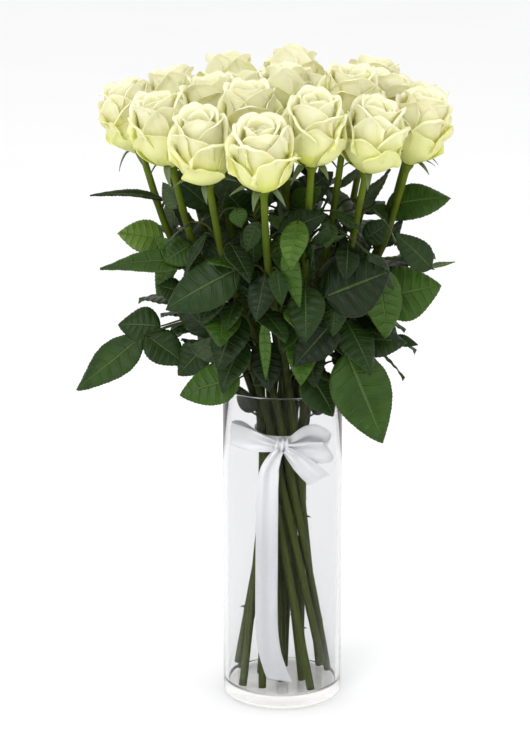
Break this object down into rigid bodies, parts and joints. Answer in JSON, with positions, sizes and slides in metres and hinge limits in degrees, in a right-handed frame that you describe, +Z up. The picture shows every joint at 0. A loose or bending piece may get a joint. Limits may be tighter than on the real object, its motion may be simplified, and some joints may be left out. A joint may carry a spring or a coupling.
{
  "type": "glass cylinder vase with tied roses",
  "caption": "Tall straight glass cylinder vase with a thick base, holding a ribbon-tied spiral bunch of cream roses that lifts out as one.",
  "frame": {"origin": "centre of the vase's flat underside", "axes": "+Z up the vase's axis; -Y is the front, where the bow is tied"},
  "size_m": [0.3427, 0.3156, 0.5943],
  "materials": {
    "clear_glass": "clear polished soda-lime glass",
    "rose_stem": "smooth green rose stem, yellower below the bloom",
    "rose_petal": "soft cream-white petal, yellow-green in its depths",
    "rose_leaf": "glossy dark green leaf with pale veins",
    "satin_ribbon": "white satin ribbon"
  },
  "bodies": {
    "vase": {"vase": "clear_glass"},
    "bouquet": {"bloom_01": "rose_petal", "bloom_02": "rose_petal", "bloom_03": "rose_petal", "bloom_04": "rose_petal", "bloom_05": "rose_petal", "bloom_06": "rose_petal", "bloom_07": "rose_petal", "bloom_08": "rose_petal", "bloom_09": "rose_petal", "bloom_10": "rose_petal", "bloom_11": "rose_petal", "bloom_12": "rose_petal", "bloom_13": "rose_petal", "bloom_14": "rose_petal", "bloom_15": "rose_petal", "bloom_16": "rose_petal", "bloom_17": "rose_petal", "bloom_18": "rose_petal", "bloom_19": "rose_petal", "leaves_01": "rose_leaf", "leaves_02": "rose_leaf", "leaves_03": "rose_leaf", "leaves_04": "rose_leaf", "leaves_05": "rose_leaf", "leaves_06": "rose_leaf", "leaves_07": "rose_leaf", "leaves_08": "rose_leaf", "leaves_09": "rose_leaf", "leaves_10": "rose_leaf", "leaves_11": "rose_leaf", "leaves_12": "rose_leaf", "ribbon_band": "satin_ribbon", "ribbon_knot": "satin_ribbon", "ribbon_loop_left": "satin_ribbon", "ribbon_loop_right": "satin_ribbon", "ribbon_tail_long": "satin_ribbon", "ribbon_tail_short": "satin_ribbon", "stem_01": "rose_stem", "stem_02": "rose_stem", "stem_03": "rose_stem", "stem_04": "rose_stem", "stem_05": "rose_stem", "stem_06": "rose_stem", "stem_07": "rose_stem", "stem_08": "rose_stem", "stem_09": "rose_stem", "stem_10": "rose_stem", "stem_11": "rose_stem", "stem_12": "rose_stem", "stem_13": "rose_stem", "stem_14": "rose_stem", "stem_15": "rose_stem", "stem_16": "rose_stem", "stem_17": "rose_stem", "stem_18": "rose_stem", "stem_19": "rose_stem"}
  },
  "joints": [
    {"name": "bouquet_lift", "type": "slide", "parent": "vase", "child": "bouquet", "axis": [0, 0, 1], "range_m": [0, 0.32]}
  ]
}
